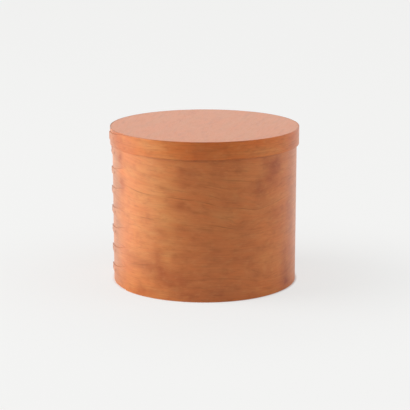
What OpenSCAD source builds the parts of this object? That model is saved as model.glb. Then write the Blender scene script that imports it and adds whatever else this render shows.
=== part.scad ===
// Round bentwood pantry box with a lift-off lid.
// Each wall is one thin strip of cherry, bent round until it laps over its own feathered end. The outer
// end is cut into long fingers, which are tacked down with copper. Round boards fill the bottom and the
// top of the lid, and small wooden pegs hold the boards in their bands.
// The axis of the box is Z, the box stands on z = 0 and the front is -Y. Sizes are in millimetres.

/* [Side band] */
// Outside diameter of the box where its wall is a single layer
box_d = 235; // [180:1:300]
// Thickness of the side band
side_t = 1.3; // [1.2:0.1:2.4]
// Height of the side band
side_h = 194; // [150:1:240]

/* [Lap] */
// Direction in which the finger tips lie, counted in degrees from +X towards +Y
tip_angle = 183; // [0:1:359]
// Length of full-thickness lap between the finger roots and the feathered end
lap_land_l = 12; // [8:1:40]
// Length over which the hidden inner end is feathered
feather_l = 60; // [40:1:90]
// Thickness left at the very end of the feather
feather_end_t = 0.3; // [0.3:0.1:0.8]
// Hairline left between the two layers of the lap
seam = 0.1; // [0.08:0.01:0.2]

/* [Fingers] */
// Spacing of the fingers on the side band
finger_pitch = 25.4; // [20:0.2:30]
// Length of a finger on the side band, from its tip to the point of the arch beside it
finger_l = 64; // [40:1:80]
// Width of a finger tip where it lies on the wall
finger_tip_w = 6.4; // [5:0.2:12]
// Height of the middle of the row of fingers above the middle of the wall that the lid leaves bare
finger_row_rise = 5.4; // [0:0.2:8]
// Slope of the knife cut along the edges of a finger, from square
finger_bevel = 6; // [0:1:15]

/* [Lid] */
// Height of the lid band
lid_h = 22; // [16:1:30]
// Thickness of the lid band
lid_t = 1.2; // [1.1:0.1:2.4]
// Gap between the lid band and the lapped part of the side band
lid_clearance = 0.3; // [0.3:0.05:1]
// Length of the single finger on the lid band
lid_finger_l = 60; // [40:1:80]
// Width of the tip of the lid's finger
lid_finger_tip_w = 9.4; // [5:0.2:12]
// Height of the middle of the lid's finger above the middle of the lid band
lid_finger_rise = 1.2; // [0:0.2:4]
// Turn of the closed lid on the box, from where its finger lines up with those of the side band
lid_turn = 4; // [0:1:359]

/* [Boards] */
// Thickness of the bottom board
bottom_board_t = 8; // [6:0.5:12]
// Thickness of the lid board
lid_board_t = 6; // [5:0.5:10]
// Gap left all round a board inside its band
board_fit = 0.1; // [0.05:0.01:0.3]

/* [Tacks] */
// Diameter of a tack's head
tack_head_d = 3.6; // [3:0.1:5]
// Height of the head's low dome
tack_head_h = 0.3; // [0.2:0.05:0.6]
// Diameter of a tack's shank
tack_shank_d = 1.3; // [1:0.1:1.6]
// Diameter of the clinched point, which is hammered flush with the inside
clinch_d = 2.2; // [1.8:0.1:3]
// Thickness of the clinched point
clinch_t = 0.4; // [0.3:0.05:0.6]
// Distance of the first tack behind the tip of its finger
tip_tack_inset = 10; // [6:0.5:16]
// Distance of the second tack behind the tip of its finger
root_tack_inset = 30; // [20:0.5:60]
// Gap round a shank or a clinched point in its hole
tack_fit = 0.03; // [0.02:0.01:0.1]

/* [Pegs] */
// Number of pegs round each board
peg_n = 12; // [6:1:18]
// Diameter of a peg where it is trimmed flush with the band
peg_d = 2.2; // [1.6:0.1:3]
// Diameter of a peg at its inner end
peg_point_d = 1.4; // [0.8:0.1:1.6]
// Length of a peg that goes through one layer of band
peg_l = 13; // [9:0.5:18]
// Distance from the finger tips or the arch points to the nearest peg
peg_end_gap = 9; // [5:0.5:20]
// Gap round a peg in its hole
peg_fit = 0.03; // [0.02:0.01:0.1]

/* [Hidden] */
$fn = 64;

// Angle between the points of a band's outline, in degrees
outline_step = 1.5;
// Length over which the band lifts before it meets its own feathered end
lift_l = 40;
// How far a cutting tool runs past the wood that it cuts
reach = 12;

box_r = box_d / 2;
side_inner_r = box_r - side_t;
lid_inner_r = box_r + seam + side_t + lid_clearance;
total_h = side_h + lid_board_t;
lid_bottom_z = total_h - lid_h;

// The wall is bare below the lid. The row has as many fingers as that part holds.
finger_n = floor(lid_bottom_z / finger_pitch);
first_finger_z = lid_bottom_z / 2 + finger_row_rise - (finger_n - 1) / 2 * finger_pitch;
finger_zs = [for (i = [0 : finger_n - 1]) first_finger_z + i * finger_pitch];
lid_finger_z = lid_bottom_z + lid_h / 2 + lid_finger_rise;

cherry = [0.68, 0.38, 0.21];
cherry_board = [0.72, 0.42, 0.24];
peg_wood = [0.50, 0.27, 0.15];
copper = [0.72, 0.40, 0.25];

function degrees_of(length, radius) = length / radius * 180 / PI;
function eased(u) = let (c = min(max(u, 0), 1)) c * c * (3 - 2 * c);
function polar(radius, angle) = [radius * cos(angle), radius * sin(angle)];

// A strip goes clockwise, seen from above. It is counted by the angle that it has turned from its hidden
// end, up to the finger tips.
function lap_length(finger_length) = finger_length + lap_land_l + feather_l;
function strip_turn(inner_r, finger_length) = 360 + degrees_of(lap_length(finger_length), inner_r);
function strip_start(inner_r, finger_length) = tip_angle + strip_turn(inner_r, finger_length);

// Thickness of the strip at a distance from its hidden end
function layer_t(distance, t) = feather_end_t + (t - feather_end_t) * eased(distance / feather_l);

// How far the strip's inner face has climbed, at a distance past the place where the strip began
function climb(past, t) =
    past < 0 ? (feather_end_t + seam) * eased(1 + past / lift_l) : layer_t(past, t) + seam;

function past_start(turned, inner_r) = (turned - 360) * PI / 180 * inner_r;
function inner_face_r(turned, inner_r, t) = inner_r + climb(past_start(turned, inner_r), t);
function outer_face_r(turned, inner_r, t) =
    inner_face_r(turned, inner_r, t) + layer_t(turned * PI / 180 * inner_r, t);

// Radius of the outermost layer of a band in a direction that is clear of the fingers
function surface_r(angle, inner_r, t, finger_length) =
    let (
        turn = strip_turn(inner_r, finger_length),
        from_start = (strip_start(inner_r, finger_length) - angle) % 360,
        first = from_start < 0 ? from_start + 360 : from_start,
        turned = first + 360 <= turn ? first + 360 : first
    )
    outer_face_r(turned, inner_r, t);

function lap_surface_r(inner_r, t) = inner_r + 2 * t + seam;

// Plan of a band: out along the outer face from the hidden end, and back along the inner face.
// The outer face stops short of the inner one, so the finger tips slope like the finger edges.
module strip_plan(inner_r, t, finger_length) {
    turn = strip_turn(inner_r, finger_length);
    start = strip_start(inner_r, finger_length);
    steps = ceil(turn / outline_step);
    tip_slope = degrees_of(t * tan(finger_bevel), inner_r);
    polygon(concat(
        [for (i = [0 : steps]) let (turned = (turn - tip_slope) * i / steps)
            polar(outer_face_r(turned, inner_r, t), start - turned)],
        [for (i = [steps : -1 : 0]) let (turned = turn * i / steps)
            polar(inner_face_r(turned, inner_r, t), start - turned)]
    ));
}

// Sets its children on a round face: X goes back along the strip, Y up and Z outwards.
module on_wall(radius, angle) {
    rotate([0, 0, angle]) translate([radius, 0, 0]) rotate([90, 0, 90]) children();
}

// Sets its children on the lap, at a distance behind the finger tips and a height.
module on_lap(inner_r, t, behind, z) {
    radius = lap_surface_r(inner_r, t);
    on_wall(radius, tip_angle + degrees_of(behind, radius)) translate([0, z, 0]) children();
}

// Sets a cut between fingers on the outer layer of the lap and spares the layer beneath. The round wall
// carries the finger tips and the arch points below the middle of the fingers.
module outer_layer_cut(length, inner_r, t, z) {
    radius = lap_surface_r(inner_r, t);
    drop = radius * (1 - cos(degrees_of(length / 2, radius)));
    difference() {
        on_lap(inner_r, t, length / 2, z) translate([-length / 2, 0, -drop]) children();
        cylinder(h = 2 * (total_h + reach), r = inner_r + t + seam / 2, center = true, $fn = 240);
    }
}

// The pointed arch between two fingers
module arch_cut(half_w, length, inner_r, t, z) {
    outer_layer_cut(length, inner_r, t, z) intersection() {
        knife_cut(half_w, length, 1);
        knife_cut(half_w, length, -1);
    }
}

// The half arch between the last finger and the edge of its band, below the finger or above it
module lower_half_arch_cut(half_w, length, inner_r, t, z) {
    outer_layer_cut(length, inner_r, t, z) knife_cut(half_w, length, -1);
}

module upper_half_arch_cut(half_w, length, inner_r, t, z) {
    outer_layer_cut(length, inner_r, t, z) knife_cut(half_w, length, 1);
}

// One side of an arch, cut with a sloping knife along an arc that starts square to the finger tips
module knife_cut(half_w, length, side) {
    arc_r = (length * length + half_w * half_w) / (2 * half_w);
    widening = reach * tan(finger_bevel);
    translate([0, side * (arc_r - half_w), -reach])
        cylinder(h = 2 * reach, r1 = arc_r - widening, r2 = arc_r + widening, $fn = 180);
}

// A copper tack with its point clinched, standing on the lap's surface with its head outwards
module tack(t) {
    stack = 2 * t + seam;
    dome_r = (tack_head_d * tack_head_d / 4 + tack_head_h * tack_head_h) / (2 * tack_head_h);
    color(copper) {
        intersection() {
            translate([0, 0, tack_head_h - dome_r]) sphere(dome_r);
            cylinder(h = 2 * tack_head_h, d = tack_head_d);
        }
        translate([0, 0, -stack + clinch_t / 2]) cylinder(h = stack, d = tack_shank_d);
        translate([0, 0, -stack]) cylinder(h = clinch_t, d = clinch_d);
    }
}

module tack_hole(t) {
    stack = 2 * t + seam;
    translate([0, 0, -stack - reach]) cylinder(h = stack + 2 * reach, d = tack_shank_d + 2 * tack_fit);
    translate([0, 0, -stack - reach]) cylinder(h = reach + clinch_t + tack_fit, d = clinch_d + 2 * tack_fit);
}

// Sets its children at each peg of a board, clear of the fingers, on the outside of the band.
module at_pegs(inner_r, t, finger_length, z) {
    first = tip_angle - degrees_of(peg_end_gap, inner_r);
    last = tip_angle - 360 + degrees_of(finger_length + peg_end_gap, inner_r);
    for (i = [0 : peg_n - 1]) {
        angle = first + (last - first) * i / (peg_n - 1);
        radius = surface_r(angle, inner_r, t, finger_length);
        $peg_length = peg_l + radius - inner_r - t;
        on_wall(radius, angle) translate([0, z, 0]) children();
    }
}

module peg() {
    color(peg_wood) translate([0, 0, -$peg_length])
        cylinder(h = $peg_length, d1 = peg_point_d, d2 = peg_d, $fn = 32);
}

module peg_hole() {
    taper = (peg_d - peg_point_d) / $peg_length;
    translate([0, 0, -$peg_length - peg_fit]) cylinder(
        h = $peg_length + reach + peg_fit,
        d1 = peg_point_d + 2 * peg_fit - peg_fit * taper,
        d2 = peg_d + 2 * peg_fit + reach * taper,
        $fn = 32
    );
}

module at_bottom_pegs() {
    at_pegs(side_inner_r, side_t, finger_l, bottom_board_t / 2) children();
}

module at_lid_pegs() {
    rotate([0, 0, lid_turn])
        at_pegs(lid_inner_r, lid_t, lid_finger_l, total_h - lid_board_t / 2) children();
}

module at_side_tacks(inset) {
    for (z = finger_zs) on_lap(side_inner_r, side_t, inset, z) children();
}

module at_lid_tacks() {
    rotate([0, 0, lid_turn])
        for (inset = [tip_tack_inset, root_tack_inset])
            on_lap(lid_inner_r, lid_t, inset, lid_finger_z) children();
}

// The wall of the box: one strip with a row of fingers
module side_band() {
    tip_half = finger_tip_w / 2;
    color(cherry) difference() {
        linear_extrude(side_h) strip_plan(side_inner_r, side_t, finger_l);
        for (i = [0 : finger_n - 2])
            arch_cut(
                finger_pitch / 2 - tip_half, finger_l, side_inner_r, side_t,
                finger_zs[i] + finger_pitch / 2
            );
        lower_half_arch_cut(finger_zs[0] - tip_half, finger_l, side_inner_r, side_t, 0);
        upper_half_arch_cut(
            side_h - finger_zs[finger_n - 1] - tip_half, finger_l, side_inner_r, side_t, side_h
        );
        at_side_tacks(tip_tack_inset) tack_hole(side_t);
        at_side_tacks(root_tack_inset) tack_hole(side_t);
        at_bottom_pegs() peg_hole();
    }
}

module side_tip_tacks() {
    at_side_tacks(tip_tack_inset) tack(side_t);
}

module side_root_tacks() {
    at_side_tacks(root_tack_inset) tack(side_t);
}

// The board that closes the bottom, flush with the lower edge of the wall
module bottom_board() {
    color(cherry_board) difference() {
        cylinder(h = bottom_board_t, r = side_inner_r - board_fit, $fn = 240);
        at_bottom_pegs() peg_hole();
    }
}

module bottom_pegs() {
    at_bottom_pegs() peg();
}

// The skirt of the lid: a narrow strip with one finger
module lid_band() {
    tip_half = lid_finger_tip_w / 2;
    color(cherry) difference() {
        rotate([0, 0, lid_turn]) difference() {
            translate([0, 0, lid_bottom_z]) linear_extrude(lid_h)
                strip_plan(lid_inner_r, lid_t, lid_finger_l);
            lower_half_arch_cut(
                lid_finger_z - lid_bottom_z - tip_half, lid_finger_l, lid_inner_r, lid_t, lid_bottom_z
            );
            upper_half_arch_cut(
                total_h - lid_finger_z - tip_half, lid_finger_l, lid_inner_r, lid_t, total_h
            );
        }
        at_lid_tacks() tack_hole(lid_t);
        at_lid_pegs() peg_hole();
    }
}

module lid_tacks() {
    at_lid_tacks() tack(lid_t);
}

// The top of the lid, flush with the skirt's upper edge, which rests on the rim of the wall
module lid_board() {
    color(cherry_board) difference() {
        translate([0, 0, side_h]) cylinder(h = lid_board_t, r = lid_inner_r - board_fit, $fn = 240);
        at_lid_pegs() peg_hole();
    }
}

module lid_pegs() {
    at_lid_pegs() peg();
}

side_band();
side_tip_tacks();
side_root_tacks();
bottom_board();
bottom_pegs();
lid_band();
lid_tacks();
lid_board();
lid_pegs();
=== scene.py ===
"""The looks of a round bentwood pantry box.

Two thin strips of cherry, bent round and lapped in long fingers, make the wall of the box and the skirt of
its lid. Copper tacks hold the laps, and small pegs hold the two boards in their bands. Lengths are in metres,
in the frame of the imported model, with the front of the box towards -Y.
"""
import logging
import math
from collections.abc import Iterable, Sequence
from dataclasses import dataclass, field, replace
from enum import Enum
from typing import Any, ClassVar

import bmesh
import bpy
import numpy as np
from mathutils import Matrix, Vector


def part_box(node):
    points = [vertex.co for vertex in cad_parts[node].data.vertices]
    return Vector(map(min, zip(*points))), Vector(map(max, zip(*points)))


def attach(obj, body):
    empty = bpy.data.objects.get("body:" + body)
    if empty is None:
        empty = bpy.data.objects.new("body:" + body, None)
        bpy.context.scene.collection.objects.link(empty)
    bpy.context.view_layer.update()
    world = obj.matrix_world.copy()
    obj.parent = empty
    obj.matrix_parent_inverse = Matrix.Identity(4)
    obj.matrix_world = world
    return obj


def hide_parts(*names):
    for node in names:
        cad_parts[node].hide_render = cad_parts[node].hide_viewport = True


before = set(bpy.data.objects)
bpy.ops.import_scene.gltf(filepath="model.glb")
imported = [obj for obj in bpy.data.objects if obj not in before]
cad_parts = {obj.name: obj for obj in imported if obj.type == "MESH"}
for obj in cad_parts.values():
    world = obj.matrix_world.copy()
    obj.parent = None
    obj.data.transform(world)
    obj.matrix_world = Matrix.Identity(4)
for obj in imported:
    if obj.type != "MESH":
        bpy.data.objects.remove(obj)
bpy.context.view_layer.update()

MM = 0.001
# Edges that turn by more than this stay crisp
CREASE = math.radians(25)
LOG = logging.getLogger("pantry_box")

Colour = tuple[float, float, float, float]
# Radius, direction and height of a fastener's head on the outside of a band
Seat = tuple[float, float, float]
# What a node's input can be linked to
Source = bpy.types.Node | bpy.types.NodeSocket


class Body(Enum):
    """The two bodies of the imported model."""

    BOX = "box"
    LID = "lid"


class Slot(Enum):
    """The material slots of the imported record."""

    BAND = "cherry_band"
    BOARD = "cherry_board"
    PEG = "peg_wood"
    COPPER = "copper"


class Trait(Enum):
    """Values that a piece carries on its points, for its finish or its tree to read."""

    GRAIN = "grain"
    GOLDEN = "golden"
    DULL = "dull"
    BLOTCH = "blotch"
    LINES = "lines"
    CUT = "cut"
    OUTWARD = "outward"


def linear(hex_colour: str) -> Colour:
    """Turns an sRGB colour to linear.

    Args:
        hex_colour: Six hex digits, red first.

    Returns:
        Linear red, green and blue, and an alpha of 1.
    """
    shares = [int(hex_colour[i:i + 2], 16) / 255 for i in (0, 2, 4)]
    red, green, blue = (s / 12.92 if s <= 0.04045 else ((s + 0.055) / 1.055) ** 2.4 for s in shares)
    return red, green, blue, 1.0


def feed(tree: bpy.types.NodeTree, node: bpy.types.Node, inputs: dict[str | int, Any]) -> None:
    """Sets or links a node's inputs.

    Args:
        tree: The node's tree.
        node: The node.
        inputs: For each input, by its number or its name among those in use, a value, a socket to link, or a
            node whose first output in use is linked.
    """
    named = {socket.name: socket for socket in reversed(list(node.inputs)) if socket.enabled}
    for key, value in inputs.items():
        socket = node.inputs[key] if isinstance(key, int) else named[key]
        if isinstance(value, bpy.types.Node):
            value = next(output for output in value.outputs if output.enabled)
        if isinstance(value, bpy.types.NodeSocket):
            tree.links.new(value, socket)
        else:
            socket.default_value = value


def add(
    tree: bpy.types.NodeTree, kind: str, inputs: dict[str | int, Any] | None = None, **settings: Any
) -> bpy.types.Node:
    """Adds a node to a tree, with its settings and its links.

    Args:
        tree: The tree that gets the node.
        kind: Blender's type name of the node.
        inputs: What its inputs get, as for feed.
        **settings: Properties of the node to set.

    Returns:
        The new node.
    """
    node = tree.nodes.new(kind)
    for key, value in settings.items():
        setattr(node, key, value)
    feed(tree, node, inputs or {})
    return node


def new_finish(name: str) -> tuple[bpy.types.Material, bpy.types.NodeTree, bpy.types.Node]:
    """Starts a material.

    Args:
        name: Name of the material.

    Returns:
        The material, its tree and its standard shader.
    """
    finish = bpy.data.materials.new(name)
    finish.use_nodes = True
    return finish, finish.node_tree, finish.node_tree.nodes["Principled BSDF"]


def smooth_through(stations: Sequence[tuple[float, float]], at: np.ndarray) -> np.ndarray:
    """Draws a smooth curve through a few stations.

    Args:
        stations: Pairs of place and value, in rising order of place.
        at: The places to read the curve at.

    Returns:
        The curve's values there, level beyond the first and last stations.
    """
    places, values = np.array(stations, float).T
    slopes = np.gradient(values, places)
    at = np.clip(at, places[0], places[-1])
    k = np.clip(np.searchsorted(places, at) - 1, 0, len(places) - 2)
    span = places[k + 1] - places[k]
    u = (at - places[k]) / span
    bend = span * u * (1 - u) * (slopes[k] * (1 - u) - slopes[k + 1] * u)
    return values[k] + (values[k + 1] - values[k]) * eased(u) + bend


def eased(share: np.ndarray | float) -> np.ndarray | float:
    """Eases a share from 0 to 1 with level ends."""
    held = np.clip(share, 0, 1)
    return held * held * (3 - 2 * held)


def lathe(profile: Sequence[tuple[float, float]], segments: int) -> bmesh.types.BMesh:
    """Turns a profile round the Z axis into a closed solid.

    Args:
        profile: Pairs of radius and height, from the lower pole to the upper one, both at radius 0.
        segments: Number of steps round the axis.

    Returns:
        The turned mesh, with its faces outwards.
    """
    turned = bmesh.new()
    low, *rings, high = profile
    turns = [math.tau * i / segments for i in range(segments)]
    loops = [[turned.verts.new((r * math.cos(a), r * math.sin(a), z)) for a in turns] for r, z in rings]
    poles = [turned.verts.new((0, 0, z)) for _, z in (low, high)]
    for i in range(segments):
        j = (i + 1) % segments
        turned.faces.new((poles[0], loops[0][j], loops[0][i]))
        for below, above in zip(loops, loops[1:]):
            turned.faces.new((below[i], below[j], above[j], above[i]))
        turned.faces.new((loops[-1][i], loops[-1][j], poles[1]))
    bmesh.ops.recalc_face_normals(turned, faces=turned.faces)
    return turned


def put_in_scene(name: str, data: bmesh.types.BMesh | bpy.types.ID) -> bpy.types.Object:
    """Puts a mesh, a lamp or a camera in the scene.

    Args:
        name: Name of the object.
        data: What the object holds, or an edit mesh that is freed here.

    Returns:
        The new object, at the origin.
    """
    if isinstance(data, bmesh.types.BMesh):
        mesh = bpy.data.meshes.new(name)
        data.to_mesh(mesh)
        data.free()
        data = mesh
    made = bpy.data.objects.new(name, data)
    bpy.context.scene.collection.objects.link(made)
    return made


def new_tree(name: str, sizes: Iterable[str]) -> tuple[bpy.types.NodeTree, Any]:
    """Starts a Geometry Nodes tree that takes a geometry and named sizes.

    Args:
        name: Name of the tree.
        sizes: Names of its float inputs.

    Returns:
        The tree, and the sockets of its geometry and sizes by name.
    """
    tree = bpy.data.node_groups.new(name, "GeometryNodeTree")
    for way in ("INPUT", "OUTPUT"):
        tree.interface.new_socket("Geometry", in_out=way, socket_type="NodeSocketGeometry")
    for size in sizes:
        tree.interface.new_socket(size, in_out="INPUT", socket_type="NodeSocketFloat")
    return tree, add(tree, "NodeGroupInput").outputs


def end_tree(tree: bpy.types.NodeTree, shape: Source, finish: bpy.types.Material) -> None:
    """Ends a Geometry Nodes tree with real meshes in their material.

    Args:
        tree: The tree.
        shape: The geometry that it has made.
        finish: The material.
    """
    real = add(tree, "GeometryNodeRealizeInstances", {"Geometry": shape})
    dressed = add(tree, "GeometryNodeSetMaterial", {"Geometry": real, "Material": finish})
    add(tree, "NodeGroupOutput", {"Geometry": dressed})


def run_tree(piece: bpy.types.Object, tree: bpy.types.NodeTree, sizes: dict[str, float]) -> None:
    """Runs a Geometry Nodes tree on a piece and keeps the result as its plain mesh.

    Args:
        piece: The object that the tree starts from.
        tree: The tree, whose inputs are named.
        sizes: A value for each named input.
    """
    modifier = piece.modifiers.new(tree.name, "NODES")
    modifier.node_group = tree
    for socket in tree.interface.items_tree:
        if socket.name in sizes:
            modifier[socket.identifier] = sizes[socket.name]
    graph = bpy.context.evaluated_depsgraph_get()
    plain = bpy.data.meshes.new_from_object(
        piece.evaluated_get(graph), preserve_all_data_layers=True, depsgraph=graph
    )
    piece.modifiers.clear()
    piece.data = plain
    plain.name = piece.name


def hand_over(piece: bpy.types.Object, body: Body, node: str) -> None:
    """Smooths a finished piece and gives it to the frame.

    Args:
        piece: The finished piece.
        body: The body that it rides on.
        node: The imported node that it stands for.
    """
    piece.data.shade_smooth()
    piece.data.set_sharp_from_angle(angle=CREASE)
    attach(piece, body.value)
    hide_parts(node)
    LOG.info("%s rides on %s, %d faces", piece.name, body.value, len(piece.data.polygons))


@dataclass(frozen=True)
class Figure:
    """A random pattern in wood, stretched along the grain.

    The raw pattern gives 0 at its low level and 1 at its high level.
    """

    length: float
    width: float
    low: float = 0.0
    high: float = 1.0
    detail: ClassVar[float] = 2.0
    detail_strength: ClassVar[float] = 0.5

    def draw(self, tree: bpy.types.NodeTree, grain: Source) -> bpy.types.Node:
        """Draws the pattern.

        Args:
            tree: The material's tree.
            grain: The place in the wood.

        Returns:
            The pattern, between 0 and 1.
        """
        per_size = (1 / self.length, 1 / self.width, 1 / self.width)
        scaled = add(tree, "ShaderNodeVectorMath", {0: grain, 1: per_size}, operation="MULTIPLY")
        raw = add(
            tree, "ShaderNodeTexNoise",
            {"Vector": scaled, "Scale": 1.0, "Detail": self.detail, "Roughness": self.detail_strength},
        )
        levels = {"Value": raw, "From Min": self.low, "From Max": self.high}
        return add(tree, "ShaderNodeMapRange", levels, interpolation_type="SMOOTHSTEP")


@dataclass(frozen=True)
class Tone(Figure):
    """A change of colour that comes and goes along the grain.

    A strip may place more of the tone where it carries the trait.
    """

    colour: str = "000000"
    strength: float = 1.0
    trait: Trait | None = None


@dataclass(frozen=True)
class OiledCherry:
    """Black cherry, sanded fine and oiled to a satin.

    The oil gives a warm orange-brown with yellower stretches, paler greyish stretches, dark red-brown
    blotches, soft mottling, short flecks and fine fibres, and thin broken growth lines. Cut ends drink more
    oil and turn dark. Some placed stretches of the yellower tone are a painted highlight, the placed greyish
    tone at the left edge is a painted sheen, and the dark cut edges also carry painted shade.
    """

    name: str
    body_colour: str = "CB733B"
    tones: tuple[Tone, ...] = (
        Tone(60 * MM, 15 * MM, 0.36, 0.70, "CE8C50", 0.45, Trait.GOLDEN),
        Tone(120 * MM, 50 * MM, 0.60, 0.95, "AE724E", 0.90, Trait.DULL),
        Tone(38 * MM, 24 * MM, 0.42, 0.90, "9E4C27", 0.80, Trait.BLOTCH),
        Tone(17 * MM, 12 * MM, 0.50, 0.80, "94461F", 0.26),
        Tone(15 * MM, 10 * MM, 0.52, 0.80, "CE8E4C", 0.22),
        Tone(10 * MM, 3 * MM, 0.48, 0.80, "8A4320", 0.24),
        Tone(8 * MM, 4 * MM, 0.50, 0.80, "D89A5C", 0.18),
        Tone(70 * MM, 4 * MM, 0.42, 0.78, "7E4022", 0.07),
    )
    # Real fibres are about a third as wide, too fine to show
    fibre: Tone = Tone(30 * MM, 1 * MM, 0.35, 0.80, "72391C", 0.15)
    line_colour: str = "703416"
    line_strength: float = 0.85
    line_sharpness: float = 9.0
    line_spacing: float = 6 * MM
    # The lines wander by this many spacings, in waves of this length and of this many spacings across
    line_wander: float = 2.6
    wave_length: float = 300 * MM
    wave_width: float = 5.0
    # They break off in stretches of this length and of this many spacings across
    break_length: float = 50 * MM
    break_width: float = 2.0
    break_levels: tuple[float, float] = (0.54, 0.84)
    # The cut edges' colour is the oil's darkening of the end grain, and also painted shade along the fingers'
    # edges
    cut_and_shade_colour: str = "5A2E18"
    cut_and_shade_strength: float = 0.4
    roughness: float = 0.40
    fibre_roughness: float = 0.08
    ior: float = 1.5
    relief: float = 0.05 * MM
    relief_strength: float = 0.4

    def grain(self, tree: bpy.types.NodeTree) -> Source:
        """Gives the place in the wood: along the grain, across the growth lines, and into the face."""
        return add(tree, "ShaderNodeAttribute", attribute_name=Trait.GRAIN.value).outputs["Vector"]

    def growth_lines(self, tree: bpy.types.NodeTree, grain: Source) -> bpy.types.Node:
        """Draws the latewood of the year rings, which darkens slowly, ends sharply and fades in and out.

        Args:
            tree: The material's tree.
            grain: The place in the wood.

        Returns:
            The strength of the line, between 0 and 1.
        """
        across = add(tree, "ShaderNodeSeparateXYZ", {"Vector": grain}).outputs["Y"]
        rings = add(tree, "ShaderNodeMath", {0: across, 1: self.line_spacing}, operation="DIVIDE")
        wave = Figure(self.wave_length, self.wave_width * self.line_spacing).draw(tree, grain)
        wander = {0: wave, 1: self.line_wander, 2: rings}
        wandering = add(tree, "ShaderNodeMath", wander, operation="MULTIPLY_ADD")
        ring = add(tree, "ShaderNodeMath", {0: wandering}, operation="FRACT")
        late = add(tree, "ShaderNodeMath", {0: ring, 1: self.line_sharpness}, operation="POWER")
        breaks = Figure(self.break_length, self.break_width * self.line_spacing, *self.break_levels)
        return add(tree, "ShaderNodeMath", {0: late, 1: breaks.draw(tree, grain)}, operation="MULTIPLY")

    def share(self, tree: bpy.types.NodeTree, grain: Source, tone: Tone) -> bpy.types.Node:
        """Gives how much of a tone there is at each place, between 0 and 1."""
        return tone.draw(tree, grain)

    def cut_ends_and_shade(self, tree: bpy.types.NodeTree) -> Source | None:
        """Gives how far a place is a cut end, or None where the piece has none."""
        return None

    def material(self) -> bpy.types.Material:
        """Builds the finish.

        Returns:
            The material.
        """
        finish, tree, shader = new_finish(self.name)
        grain = self.grain(tree)
        fibres = self.fibre.draw(tree, grain)
        lines = self.growth_lines(tree, grain)
        # Dark cut edges: oiled end grain, and painted shade along the fingers' edges
        cut = self.cut_ends_and_shade(tree)
        stains = [(tone.colour, tone.strength, self.share(tree, grain, tone)) for tone in self.tones]
        stains.append((self.fibre.colour, self.fibre.strength, fibres))
        stains.append((self.line_colour, self.line_strength, lines))
        if cut is not None:
            stains.append((self.cut_and_shade_colour, self.cut_and_shade_strength, cut))
        colour = linear(self.body_colour)
        for stain, strength, share in stains:
            moved = {0: share, 1: strength}
            factor = add(tree, "ShaderNodeMath", moved, operation="MULTIPLY", use_clamp=True)
            colour = add(
                tree, "ShaderNodeMix", {"Factor": factor, "A": colour, "B": linear(stain)}, data_type="RGBA"
            )
        smoothest = self.roughness - self.fibre_roughness / 2
        rougher = {0: fibres, 1: self.fibre_roughness, 2: smoothest}
        rough = add(tree, "ShaderNodeMath", rougher, operation="MULTIPLY_ADD")
        height = add(tree, "ShaderNodeMath", {0: fibres, 1: lines}, operation="ADD")
        bump = add(
            tree, "ShaderNodeBump",
            {"Strength": self.relief_strength, "Distance": self.relief, "Height": height}, invert=True,
        )
        feed(tree, shader, {"Base Color": colour, "Roughness": rough, "Normal": bump, "IOR": self.ior})
        return finish


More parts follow.
